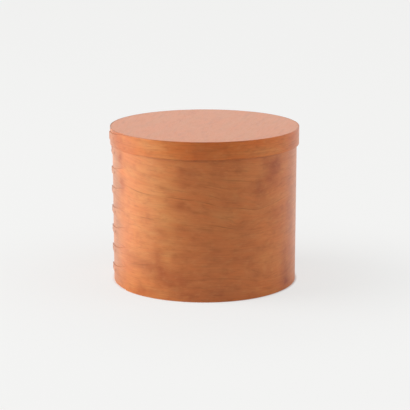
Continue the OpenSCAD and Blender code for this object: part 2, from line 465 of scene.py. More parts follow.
@dataclass(frozen=True)
class CherryStrip(OiledCherry):
    """The same cherry as a thin strip, with its grain along the strip, and a few placed lines and tones."""

    # Height of each placed line where it passes the front, in millimetres, and its strength
    placed_lines: tuple[tuple[float, float], ...] = ()
    placed_width: float = 1.1 * MM
    # A placed line darkens slowly from below and ends sharply: places in line widths, and shares of its
    # strength
    line_section: tuple[tuple[float, float], ...] = ((-1.0, 0.0), (0.0, 1.0), (0.5, 0.0))
    strip_height: float = 194 * MM
    # Share of the common tones and lines that stays where some are placed
    common_share: float = 0.5
    common_lines: float = 0.18
    # A placed tone is uneven: it swings from the least to the most of what is placed
    uneven_levels: tuple[float, float] = (0.25, 0.75)
    uneven_least: float = 0.65
    uneven_most: float = 1.35

    def growth_lines(self, tree: bpy.types.NodeTree, grain: Source) -> bpy.types.Node:
        """Draws the common growth lines, and the placed ones over them.

        Args:
            tree: The material's tree.
            grain: The place in the wood.

        Returns:
            The strength of the line, between 0 and 1.
        """
        common = super().growth_lines(tree, grain)
        if not self.placed_lines:
            return common
        across = add(tree, "ShaderNodeSeparateXYZ", {"Vector": grain}).outputs["Y"]
        height = add(tree, "ShaderNodeMath", {0: across, 1: self.strip_height}, operation="DIVIDE")
        ramp = add(tree, "ShaderNodeValToRGB", {"Fac": height})
        stops = ramp.color_ramp.elements
        stops[0].color = stops[1].color = (0, 0, 0, 1)
        for height_mm, strength in self.placed_lines:
            for offset, part in self.line_section:
                stop = stops.new((height_mm * MM + offset * self.placed_width) / self.strip_height)
                stop.color = (strength * part, strength * part, strength * part, 1)
        shown = add(tree, "ShaderNodeAttribute", attribute_name=Trait.LINES.value).outputs["Fac"]
        placed = add(tree, "ShaderNodeMath", {0: ramp, 1: shown}, operation="MULTIPLY")
        both = {0: common, 1: self.common_lines, 2: placed}
        return add(tree, "ShaderNodeMath", both, operation="MULTIPLY_ADD")

    def share(self, tree: bpy.types.NodeTree, grain: Source, tone: Tone) -> bpy.types.Node:
        """Adds what the band has placed to the common share of a tone.

        Args:
            tree: The material's tree.
            grain: The place in the wood.
            tone: The tone.

        Returns:
            Its share.
        """
        common = super().share(tree, grain, tone)
        if tone.trait is None:
            return common
        placed = add(tree, "ShaderNodeAttribute", attribute_name=tone.trait.value).outputs["Fac"]
        swing = Figure(tone.length / 2, tone.width / 2, *self.uneven_levels).draw(tree, grain)
        span = self.uneven_most - self.uneven_least
        swung = {0: swing, 1: span, 2: self.uneven_least}
        uneven = add(tree, "ShaderNodeMath", swung, operation="MULTIPLY_ADD")
        broken = add(tree, "ShaderNodeMath", {0: placed, 1: uneven}, operation="MULTIPLY")
        both = {0: common, 1: self.common_share, 2: broken}
        return add(tree, "ShaderNodeMath", both, operation="MULTIPLY_ADD")

    def cut_ends_and_shade(self, tree: bpy.types.NodeTree) -> Source | None:
        """Gives how near a place is to a finger's cut edge, whose dark colour is partly painted shade."""
        return add(tree, "ShaderNodeAttribute", attribute_name=Trait.CUT.value).outputs["Fac"]


@dataclass(frozen=True)
class CherryBoard(OiledCherry):
    """The same cherry as a flat-sawn board, paler and more even, whose rings meet the face in long arches."""

    body_colour: str = "DE8046"
    tones: tuple[Tone, ...] = (
        Tone(90 * MM, 20 * MM, 0.36, 0.70, "D08E5C", 0.26),
        Tone(30 * MM, 9 * MM, 0.46, 0.80, "B4643A", 0.26),
        Tone(160 * MM, 5 * MM, 0.42, 0.78, "8C4A24", 0.08),
    )
    fibre: Tone = Tone(40 * MM, 1 * MM, 0.35, 0.80, "8C4A24", 0.04)
    line_strength: float = 0.12
    relief: float = 0.004 * MM
    # The heart of the log lies this far below the board, and comes up along it by this slope
    ring_depth: float = 60 * MM
    ring_tilt: float = 0.16
    # The grain runs from front to back, turned by this much
    turn: float = math.radians(12)

    def grain(self, tree: bpy.types.NodeTree) -> Source:
        """Gives the place in the log: along it, out from its heart, and into the face.

        Args:
            tree: The material's tree.

        Returns:
            The place as a vector.
        """
        place = add(tree, "ShaderNodeTexCoord").outputs["Object"]
        rotation = (0.0, 0.0, math.pi / 2 + self.turn)
        turned = add(tree, "ShaderNodeMapping", {"Vector": place, "Rotation": rotation})
        along, beside, _ = add(tree, "ShaderNodeSeparateXYZ", {"Vector": turned}).outputs
        tilted = {0: along, 1: self.ring_tilt, 2: self.ring_depth}
        depth = add(tree, "ShaderNodeMath", tilted, operation="MULTIPLY_ADD")
        section = add(tree, "ShaderNodeCombineXYZ", {"X": beside, "Y": depth})
        out = add(tree, "ShaderNodeVectorMath", {0: section}, operation="LENGTH")
        return add(tree, "ShaderNodeCombineXYZ", {"X": along, "Y": out, "Z": beside})


@dataclass(frozen=True)
class Flecked:
    """A finish of two colours in random flecks, which also stand in slight relief."""

    name: str
    colour: str
    fleck_colour: str
    fleck_size: float
    detail: float
    roughness: float
    relief: float
    relief_strength: float

    def start(self) -> tuple[bpy.types.Material, bpy.types.NodeTree, bpy.types.Node, bpy.types.Node]:
        """Builds the colour and the relief.

        Returns:
            The material, its tree, its shader and the flecks.
        """
        finish, tree, shader = new_finish(self.name)
        place = add(tree, "ShaderNodeTexCoord").outputs["Object"]
        flecks = add(
            tree, "ShaderNodeTexNoise", {"Vector": place, "Scale": 1 / self.fleck_size, "Detail": self.detail}
        )
        colour = add(
            tree, "ShaderNodeMix",
            {"Factor": flecks, "A": linear(self.colour), "B": linear(self.fleck_colour)}, data_type="RGBA",
        )
        relief = {"Strength": self.relief_strength, "Distance": self.relief, "Height": flecks}
        feed(tree, shader, {"Base Color": colour, "Normal": add(tree, "ShaderNodeBump", relief)})
        return finish, tree, shader, flecks


@dataclass(frozen=True)
class PegEndGrain(Flecked):
    """Cherry pegs trimmed flush: end grain that has drunk the oil, a shade darker, with fine rings."""

    name: str = "oiled cherry end grain"
    colour: str = "C9703A"
    fleck_colour: str = "B8622E"
    # Real rings are finer, too fine to show
    fleck_size: float = 0.7 * MM
    detail: float = 2.0
    roughness: float = 0.5
    relief: float = 0.03 * MM
    relief_strength: float = 1.0
    ior: float = 1.5

    def material(self) -> bpy.types.Material:
        """Builds the finish.

        Returns:
            The material.
        """
        finish, tree, shader, _ = self.start()
        feed(tree, shader, {"Roughness": self.roughness, "IOR": self.ior})
        return finish


@dataclass(frozen=True)
class DulledCopper(Flecked):
    """Hammered copper tacks: brown tarnish in the hollows, and bright copper where the face rubs."""

    name: str = "hammered copper, dulled"
    colour: str = "D08C66"
    fleck_colour: str = "8A5038"
    fleck_size: float = 1.4 * MM
    detail: float = 3.0
    # Bare copper is smoother and more of a metal than full tarnish, by these amounts
    roughness: float = 0.27
    tarnish_roughness: float = 0.3
    tarnish_loss: float = 0.4
    relief: float = 0.05 * MM
    relief_strength: float = 0.4

    def material(self) -> bpy.types.Material:
        """Builds the finish.

        Returns:
            The material.
        """
        finish, tree, shader, tarnish = self.start()
        for key, change, bare in (
            ("Roughness", self.tarnish_roughness, self.roughness),
            ("Metallic", -self.tarnish_loss, 1.0),
        ):
            dulled = add(tree, "ShaderNodeMath", {0: tarnish, 1: change, 2: bare}, operation="MULTIPLY_ADD")
            feed(tree, shader, {key: dulled})
        return finish


@dataclass(frozen=True)
class Sway:
    """A place where the growth lines of a strip leave the level.

    A station is a direction, in degrees to the right of the front, and a rise in millimetres there. The rise
    fades away from the middle height, which is in millimetres like the reach.
    """

    stations: tuple[tuple[float, float], ...]
    middle: float
    reach: float

    def rise(self, direction: np.ndarray, height: np.ndarray) -> np.ndarray:
        """Gives the rise of the lines.

        Args:
            direction: Degrees to the right of the front.
            height: Height on the strip.

        Returns:
            The rise.
        """
        fade = np.exp(-((height / MM - self.middle) / self.reach) ** 2)
        return fade * smooth_through(self.stations, direction) * MM


@dataclass(frozen=True)
class Patch:
    """A soft patch on a strip, in degrees to the right of the front and millimetres.

    A strength below 0 clears what is there.
    """

    trait: Trait
    direction: float
    height: float
    half_length: float
    half_height: float
    strength: float

    def share(self, from_front: np.ndarray, height: np.ndarray, radius: float) -> np.ndarray:
        """Gives the patch's share at places on a strip.

        Args:
            from_front: Distance along the strip to the right of the front.
            height: Height on the strip.
            radius: Radius that the strip is bent to.

        Returns:
            The share, greatest in the middle, on both layers of the lap.
        """
        turn = math.tau * radius
        apart = (from_front - math.radians(self.direction) * radius + turn / 2) % turn - turn / 2
        along = apart / (self.half_length * MM)
        up = (height - self.height * MM) / (self.half_height * MM)
        return self.strength * np.exp(-(along ** 2 + up ** 2))


def patches_of(trait: Trait, *places: tuple[float, float, float, float, float]) -> tuple[Patch, ...]:
    """Places patches of one trait.

    Args:
        trait: What the patches carry.
        *places: Direction, height, half length, half height and strength of each.

    Returns:
        The patches.
    """
    return tuple(Patch(trait, *place) for place in places)


@dataclass(frozen=True)
class Lap:
    """The sizes that the laps of both bands share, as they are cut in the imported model."""

    tip_angle: float = math.radians(183)
    land: float = 12 * MM
    feather: float = 60 * MM
    feather_end: float = 0.3 * MM
    seam: float = 0.1 * MM
    lift: float = 40 * MM
    knife_slope: float = math.tan(math.radians(6))


@dataclass
class BentBand:
    """One thin strip of cherry, fingered at its outer end and bent round until it laps over its other end.

    It is drawn as a flat strip: X runs along it from its hidden end, Y is the distance from its inner face,
    and Z is the height. A Geometry Nodes tree then bends it round, clockwise seen from above.
    """

    node: str
    body: Body
    finish: CherryStrip
    inner_r: float
    thickness: float
    finger_length: float
    tip_width: float
    fingers: Sequence[float]
    patches: tuple[Patch, ...]
    sways: tuple[Sway, ...] = ()
    grain_shift: float = 0.0
    lap: Lap = Lap()
    peg_count: int = 12
    peg_end_gap: float = 9 * MM
    column_step: float = 3 * MM
    finger_columns: int = 34
    tip_column: float = 0.6 * MM
    rows: int = 9
    edge_row: float = 0.45 * MM
    # Edges that turn by more than the square angle are eased
    square: float = math.radians(50)
    eased_edge: float = 0.3 * MM
    # An edge is on a rim when it is this near the top or the bottom
    rim_reach: float = 0.01 * MM
    # The darkened cut edges, partly oiled end grain and partly painted shade, show this far in, and less away
    # from the tips, where they are sanded thinner
    cut_reach: float = 0.5 * MM
    cut_fade: float = 14 * MM
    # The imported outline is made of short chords, whose middles lie this far inside their circle
    chord_drop: float = 0.01 * MM
    front_angle: float = math.radians(270)
    bottom: float = field(init=False)
    top: float = field(init=False)

    def __post_init__(self) -> None:
        """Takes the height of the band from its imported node."""
        low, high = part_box(self.node)
        self.bottom, self.top = low.z, high.z

    @property
    def lap_stack(self) -> float:
        """Thickness of both layers of the lap."""
        return 2 * self.thickness + self.lap.seam

    @property
    def lap_r(self) -> float:
        """Radius of the outside of the lap."""
        return self.inner_r + self.lap_stack

    @property
    def length(self) -> float:
        """Length of the strip along its inner face."""
        return math.tau * self.inner_r + self.finger_length + self.lap.land + self.lap.feather

    @property
    def start_angle(self) -> float:
        """Direction of the hidden end."""
        return self.lap.tip_angle + self.length / self.inner_r

    @property
    def arches(self) -> list[tuple[float, float]]:
        """The arches beside the fingers, from the lower edge up.

        Returns:
            The middle height and half width of each.
        """
        tip_half = self.tip_width / 2
        between = [(a + b) / 2 for a, b in zip(self.fingers, self.fingers[1:])]
        return [
            (self.bottom, self.fingers[0] - tip_half - self.bottom),
            *((z, z - a - tip_half) for z, a in zip(between, self.fingers)),
            (self.top, self.top - self.fingers[-1] - tip_half),
        ]

    def arc_r(self, half_width: float) -> float:
        """Gives the radius of the two arcs that an arch is cut to."""
        return (self.finger_length ** 2 + half_width ** 2) / (2 * half_width)

    def arch_half(self, arch: int, behind: np.ndarray, slope: float = 0.0) -> np.ndarray:
        """Gives half the width of an arch.

        Args:
            arch: Number of the arch.
            behind: Distance behind the finger tips.
            slope: How far the bevelled cut has come in at this depth.

        Returns:
            Half the width there, below 0 past the arch's end.
        """
        half_width = self.arches[arch][1]
        arc = self.arc_r(half_width)
        return np.sqrt(np.maximum((arc - slope) ** 2 - behind ** 2, 0)) - arc + half_width

    def surface_r(self, angle: float) -> float:
        """Gives the radius of the outermost layer in a direction that is clear of the fingers.

        Args:
            angle: The direction.

        Returns:
            The radius.
        """
        lap = self.lap
        past = ((self.start_angle - angle) % math.tau) * self.inner_r
        if past > self.length - math.tau * self.inner_r:
            lift = eased(1 + (past - math.tau * self.inner_r) / lap.lift)
            return self.inner_r + self.thickness + (lap.feather_end + lap.seam) * float(lift)
        under = lap.feather_end + (self.thickness - lap.feather_end) * float(eased(past / lap.feather))
        return self.inner_r + under + lap.seam + self.thickness

    def tack_seats(self, inset: float) -> list[Seat]:
        """Gives the seats of the tacks at a distance behind the finger tips."""
        return [(self.lap_r, self.lap.tip_angle + inset / self.lap_r, z) for z in self.fingers]

    def peg_seats(self, height: float) -> list[Seat]:
        """Gives the seats of the pegs, evenly spaced clear of the fingers.

        Args:
            height: Height of the pegs.

        Returns:
            The seats.
        """
        first = self.lap.tip_angle - self.peg_end_gap / self.inner_r
        last = self.lap.tip_angle - math.tau + (self.finger_length + self.peg_end_gap) / self.inner_r
        angles = [first + (last - first) * i / (self.peg_count - 1) for i in range(self.peg_count)]
        return [(self.surface_r(angle), angle, height) for angle in angles]

    def finger_rows(self, low: float, high: float) -> np.ndarray:
        """Spaces the rows of points across a finger, with one close to each edge.

        Args:
            low: Height of the finger's lower edge.
            high: Height of its upper edge.

        Returns:
            The height of each row.
        """
        inner = np.linspace(low, high, self.rows - 1)[1:-1]
        return np.concatenate([[low, low + self.edge_row], inner, [high - self.edge_row, high]])

    def layer(self, depth: float) -> tuple[list[list[Seat]], list[list[list[Seat]]]]:
        """Places the points of one face of the flat strip.

        Args:
            depth: Depth of the face below the outside.

        Returns:
            The points of the plain part, by column and row, and those of each finger.
        """
        slope = depth * self.lap.knife_slope
        full_arches = [(self.arc_r(w), w) for _, w in self.arches[1:-1] or self.arches]
        root = min(math.sqrt((arc - slope) ** 2 - (arc - w) ** 2) for arc, w in full_arches)
        root_x = self.length - root * self.inner_r / self.lap_r
        tip_x = self.length - (self.thickness - depth) * self.lap.knife_slope
        y = max(0.0, self.thickness - depth - self.chord_drop)
        levels = [z for z, _ in self.arches]
        columns = math.ceil((self.length - self.finger_length) / self.column_step) + 1
        spaced = [self.finger_rows(a, b)[1:] for a, b in zip(levels, levels[1:])]
        rows = np.concatenate([[levels[0]], *spaced])
        plain = [[(x, y, z) for z in rows] for x in np.linspace(0, root_x, columns)]
        steps = np.append(np.linspace(0, 1 - self.tip_column / self.finger_length, self.finger_columns), 1.0)
        halves = [
            np.where(steps > 0, np.maximum(self.arch_half(k, root * (1 - steps), slope), 0), 0)
            for k in range(len(levels))
        ]
        along = root_x + (tip_x - root_x) * steps
        fingers = [
            [
                [(x, y, z) for z in self.finger_rows(low, high)]
                for x, low, high in zip(along, levels[i] + halves[i], levels[i + 1] - halves[i + 1])
            ]
            for i in range(len(self.fingers))
        ]
        return plain, fingers

    def flat_strip(self) -> bmesh.types.BMesh:
        """Draws the strip flat, as a closed solid with eased edges.

        Returns:
            The flat strip.
        """
        flat = bmesh.new()

        def join(first: Sequence[bmesh.types.BMVert], second: Sequence[bmesh.types.BMVert]) -> None:
            """Adds the faces between two lines of points."""
            for k in range(len(first) - 1):
                flat.faces.new((first[k], second[k], second[k + 1], first[k + 1]))

        faces = []
        for depth in (0.0, self.thickness):
            plain, fingers = self.layer(depth)
            grid = [[flat.verts.new(place) for place in column] for column in plain]
            parts = [grid]
            per_finger = len(fingers[0][0]) - 1
            for i, finger in enumerate(fingers):
                root = grid[-1][i * per_finger:(i + 1) * per_finger + 1]
                parts.append([root] + [[flat.verts.new(place) for place in column] for column in finger[1:]])
            faces.append(parts)
            for part in parts:
                for left, right in zip(part, part[1:]):
                    join(left, right)
        outer, inner = faces
        for out, back in zip(outer, inner):
            for edge in (0, -1):
                join([column[edge] for column in out], [column[edge] for column in back])
        join(outer[0][0], inner[0][0])
        for out, back in zip(outer[1:], inner[1:]):
            join(out[-1], back[-1])
        bmesh.ops.recalc_face_normals(flat, faces=flat.faces)
        self.ease_edges(flat)
        return flat

    def ease_edges(self, flat: bmesh.types.BMesh) -> None:
        """Rounds the outward edges, apart from those where the fingers lie on the wall.

        Args:
            flat: The flat strip, as a closed solid.
        """
        sharp = []
        for edge in flat.edges:
            if not edge.is_convex or edge.calc_face_angle() < self.square:
                continue
            middle = (edge.verts[0].co + edge.verts[1].co) / 2
            on_rim = min(abs(middle.z - self.bottom), abs(middle.z - self.top)) < self.rim_reach
            if on_rim or middle.y > self.thickness / 2:
                sharp.append(edge)
        bmesh.ops.bevel(
            flat, geom=sharp, offset=self.eased_edge, offset_type="OFFSET", segments=2, profile=0.5,
            affect="EDGES", clamp_overlap=False,
        )

    def mark_traits(self, strip: bpy.types.Mesh) -> None:
        """Writes the grain, the placed tones, some of them painted highlight and sheen, and the cut edges,
        partly painted shade, on the points of the flat strip.

        Args:
            strip: The flat strip.
        """
        places = np.empty(len(strip.vertices) * 3)
        strip.vertices.foreach_get("co", places)
        x, y, z = places.reshape(-1, 3).T
        from_front = (self.start_angle - self.front_angle) * self.inner_r - x
        direction = np.degrees(from_front / self.inner_r)
        lines = z - sum(sway.rise(direction, z) for sway in self.sways)
        grain = np.stack([from_front + self.grain_shift, lines, y + self.grain_shift], 1)
        shares = {trait: np.zeros(len(x)) for trait in (Trait.GOLDEN, Trait.DULL, Trait.BLOTCH, Trait.LINES)}
        for patch in self.patches:
            shares[patch.trait] += patch.share(from_front, z, self.inner_r)
        # The darkening of the cut edges is partly painted shade along the fingers' edges
        cut = np.zeros(len(x))
        to_tip = self.length - x
        behind = to_tip * self.lap_r / self.inner_r
        for k, ((low, _), (high, _)) in enumerate(zip(self.arches, self.arches[1:])):
            inside = (z > low) & (z < high) & (to_tip < self.finger_length)
            above = z - low - self.arch_half(k, behind)
            below = high - z - self.arch_half(k + 1, behind)
            near = np.minimum(np.minimum(above, below), to_tip)
            shown = (1 - np.clip(near / self.cut_reach, 0, 1)) * np.exp(-((behind / self.cut_fade) ** 2))
            cut = np.where(inside, np.maximum(cut, shown), cut)
        in_wood = strip.attributes.new(Trait.GRAIN.value, "FLOAT_VECTOR", "POINT")
        in_wood.data.foreach_set("vector", grain.ravel())
        for trait, values in {Trait.CUT: cut, **shares}.items():
            strip.attributes.new(trait.value, "FLOAT", "POINT").data.foreach_set("value", values)

    def bend_tree(self, sizes: Iterable[str]) -> bpy.types.NodeTree:
        """Builds the tree that bends a flat strip round over its own feathered end.

        Args:
            sizes: Names of the tree's inputs.

        Returns:
            The tree.
        """
        tree, size = new_tree("bend round", sizes)
        place = add(tree, "ShaderNodeSeparateXYZ", {"Vector": add(tree, "GeometryNodeInputPosition")})
        along, raised, height = place.outputs
        turned = add(tree, "ShaderNodeMath", {0: along, 1: size["Radius"]}, operation="DIVIDE")
        angle = add(tree, "ShaderNodeMath", {0: size["Start angle"], 1: turned}, operation="SUBTRACT")
        once_round = {0: size["Radius"], 1: -math.tau, 2: along}
        past = add(tree, "ShaderNodeMath", once_round, operation="MULTIPLY_ADD")
        layer = {"Value": along, "From Max": size["Feather"], "To Min": size["Feather end"]}
        lift = {"Value": past, "From Min": size["Lift from"], "From Max": 0.0, "To Max": size["End step"]}
        climb = {"Value": past, "From Max": size["Feather"], "To Max": size["Climb"]}
        thick, lifted, climbed = (
            add(tree, "ShaderNodeMapRange", inputs, interpolation_type="SMOOTHSTEP")
            for inputs in ({**layer, "To Max": size["Thickness"]}, lift, climb)
        )
        rise = add(tree, "ShaderNodeMath", {0: lifted, 1: climbed}, operation="ADD")
        inside = add(tree, "ShaderNodeMath", {0: size["Radius"], 1: rise}, operation="ADD")
        share = add(tree, "ShaderNodeMath", {0: raised, 1: size["Thickness"]}, operation="DIVIDE")
        radius = add(tree, "ShaderNodeMath", {0: share, 1: thick, 2: inside}, operation="MULTIPLY_ADD")
        unturned = add(tree, "ShaderNodeCombineXYZ", {"X": radius, "Z": height})
        turning = {"Vector": unturned, "Angle": angle}
        bent = add(tree, "ShaderNodeVectorRotate", turning, rotation_type="Z_AXIS")
        moved = add(tree, "GeometryNodeSetPosition", {"Geometry": size["Geometry"], "Position": bent})
        end_tree(tree, moved, self.finish.material())
        return tree

    def build(self) -> None:
        """Cuts, bends and dresses the band."""
        piece = put_in_scene(f"bent_{self.node}", self.flat_strip())
        self.mark_traits(piece.data)
        sizes = {
            "Radius": self.inner_r,
            "Thickness": self.thickness,
            "Start angle": self.start_angle,
            "Feather": self.lap.feather,
            "Feather end": self.lap.feather_end,
            "Lift from": -self.lap.lift,
            "End step": self.lap.feather_end + self.lap.seam,
            "Climb": self.thickness - self.lap.feather_end,
        }
        run_tree(piece, self.bend_tree(sizes), sizes)
        hand_over(piece, self.body, self.node)


@dataclass
class Board:
    """A round board, flat and sanded, with its edges just eased."""

    node: str
    body: Body
    finish: bpy.types.Material
    eased_edge: float = 0.25 * MM
    ring_step: float = 8 * MM
    segments: int = 240

    def build(self) -> None:
        """Turns and dresses the board."""
        low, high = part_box(self.node)
        radius = high.x
        inset = radius - self.eased_edge
        rings = [self.ring_step * k for k in range(1, int(inset / self.ring_step))]
        profile = [
            *((r, low.z) for r in (0, *rings, inset)),
            (radius, low.z + self.eased_edge),
            (radius, high.z - self.eased_edge),
            *((r, high.z) for r in (inset, *reversed(rings), 0)),
        ]
        piece = put_in_scene(f"turned_{self.node}", lathe(profile, self.segments))
        piece.data.materials.append(self.finish)
        hand_over(piece, self.body, self.node)


@dataclass
class Fastener:
    """A small fastener that is set many times: its shape stands on Z = 0 and its head points along +Z."""

    node: str
    body: Body
    finish: bpy.types.Material
    seed: int
    slot: ClassVar[Slot]
    made: ClassVar[str]

    def shape(self) -> bmesh.types.BMesh:
        """Makes one fastener."""
        raise NotImplementedError

    def tree(self, pattern: bpy.types.Object, sizes: Iterable[str]) -> bpy.types.NodeTree:
        """Builds the tree that sets a copy on each point, facing outwards and turned at random.

        Args:
            pattern: The object that is copied.
            sizes: Names of the tree's inputs.

        Returns:
            The tree.
        """
        tree, size = new_tree(f"set {self.node}", sizes)
        outward = add(
            tree, "GeometryNodeInputNamedAttribute", {"Name": Trait.OUTWARD.value}, data_type="FLOAT_VECTOR"
        )
        facing = add(tree, "FunctionNodeAlignRotationToVector", {"Vector": outward}, axis="Z")
        most = add(tree, "ShaderNodeCombineXYZ", {"Z": size["Most turn"]})
        turn = add(
            tree, "FunctionNodeRandomValue", {"Min": (0, 0, 0), "Max": most, "Seed": self.seed},
            data_type="FLOAT_VECTOR",
        )
        turned = add(tree, "FunctionNodeRotateRotation", {0: facing, 1: turn}, rotation_space="LOCAL")
        source = add(tree, "GeometryNodeObjectInfo", {"Object": pattern}).outputs["Geometry"]
        copies = {"Points": size["Geometry"], "Instance": source, "Rotation": turned}
        end_tree(tree, add(tree, "GeometryNodeInstanceOnPoints", copies), self.finish)
        return tree

    def set_at(self, seats: Sequence[Seat]) -> None:
        """Sets one fastener at each seat and dresses them.

        Args:
            seats: The seats.
        """
        name = f"{self.made}_{self.node}"
        pattern = put_in_scene(f"{name}_pattern", self.shape())
        out = [(math.cos(angle), math.sin(angle), 0.0) for _, angle, _ in seats]
        points = bpy.data.meshes.new(name)
        points.from_pydata([(r * c, r * s, z) for (r, _, z), (c, s, _) in zip(seats, out)], [], [])
        outward = points.attributes.new(Trait.OUTWARD.value, "FLOAT_VECTOR", "POINT")
        outward.data.foreach_set("vector", np.ravel(out))
        piece = put_in_scene(name, points)
        sizes = {"Most turn": math.tau}
        run_tree(piece, self.tree(pattern, sizes), sizes)
        bpy.data.objects.remove(pattern)
        hand_over(piece, self.body, self.node)


@dataclass
class Tack(Fastener):
    """A copper tack with a low hammered head, whose point is clinched on the inside."""

    stack: float
    slot: ClassVar[Slot] = Slot.COPPER
    made: ClassVar[str] = "copper"
    head_d: float = 3.5 * MM
    head_h: float = 0.3 * MM
    head_edge: float = 0.1 * MM
    # Steps of the head's dome, in degrees up from its edge
    dome_steps: tuple[float, ...] = (0, 18, 36, 54, 72)
    shank_d: float = 1.3 * MM
    clinch_d: float = 2.2 * MM
    clinch_t: float = 0.15 * MM
    # The shank has its full width this far out from the clinched point
    clinch_flare: float = 0.3 * MM
    # Shares of the point's radius and height where it rounds over, and of the head's radius underneath
    clinch_round: tuple[float, float] = (0.6, 0.9)
    head_foot: float = 0.94
    segments: int = 24
    # The hammer marks the head above this height, by up to this much
    hammered_from: float = 0.15 * MM
    hammer_mark: float = 0.03 * MM

    def shape(self) -> bmesh.types.BMesh:
        """Turns one tack and hammers its head.

        Returns:
            The tack.
        """
        head_r, shank_r, clinch_r = self.head_d / 2, self.shank_d / 2, self.clinch_d / 2
        round_r, round_h = self.clinch_round
        inside = -self.stack
        dome = [
            (head_r * math.cos(a), self.head_edge + (self.head_h - self.head_edge) * math.sin(a))
            for a in map(math.radians, self.dome_steps)
        ]
        profile = [
            (0, inside - self.clinch_t),
            (round_r * clinch_r, inside - round_h * self.clinch_t),
            (clinch_r, inside),
            (shank_r, inside + self.clinch_flare),
            (shank_r, 0),
            (self.head_foot * head_r, 0),
            *dome,
            (0, self.head_h),
        ]
        turned = lathe(profile, self.segments)
        draw = np.random.default_rng(self.seed)
        for vert in turned.verts:
            if vert.co.z > self.hammered_from:
                vert.co.z -= self.hammer_mark * draw.random()
        return turned


@dataclass
class Peg(Fastener):
    """A tapered wooden peg, trimmed flush."""

    slot: ClassVar[Slot] = Slot.PEG
    made: ClassVar[str] = "trimmed"
    length: float = 13 * MM
    outer_d: float = 2.2 * MM
    inner_d: float = 1.4 * MM
    eased_edge: float = 0.1 * MM
    proud: float = 0.004 * MM
    segments: int = 20

    def shape(self) -> bmesh.types.BMesh:
        """Turns one peg.

        Returns:
            The peg.
        """
        outer, inner, ease = self.outer_d / 2, self.inner_d / 2, self.eased_edge
        profile = [
            (0, -self.length),
            (inner - ease, -self.length),
            (inner, ease - self.length),
            (outer, -ease),
            (outer - ease, self.proud),
            (0, self.proud),
        ]
        return lathe(profile, self.segments)


@dataclass
class Finishes:
    """The finishes that several pieces share."""

    board: bpy.types.Material = field(default_factory=CherryBoard("oiled cherry, flat-sawn board").material)
    peg: bpy.types.Material = field(default_factory=PegEndGrain().material)
    copper: bpy.types.Material = field(default_factory=DulledCopper().material)


@dataclass
class LappedPart:
    """What the box and its lid share: a band tacked where it laps, and a board pegged into it."""

    finishes: Finishes
    # Distances of the tacks behind the finger tips
    tip_inset: ClassVar[float] = 10 * MM
    root_inset: ClassVar[float] = 30 * MM

    def assemble(
        self,
        band: BentBand,
        board: str,
        tacks: Sequence[tuple[str, Sequence[float], int]],
        pegs: tuple[str, int],
    ) -> None:
        """Makes the pieces in order.

        Args:
            band: The band.
            board: Node of the board.
            tacks: Node, distances behind the finger tips and seed of each set of tacks.
            pegs: Node and seed of the pegs.
        """
        band.build()
        Board(board, band.body, self.finishes.board).build()
        for node, insets, seed in tacks:
            seats = [seat for inset in insets for seat in band.tack_seats(inset)]
            Tack(node, band.body, self.finishes.copper, seed, band.lap_stack).set_at(seats)
        low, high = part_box(board)
        node, seed = pegs
        Peg(node, band.body, self.finishes.peg, seed).set_at(band.peg_seats((low.z + high.z) / 2))


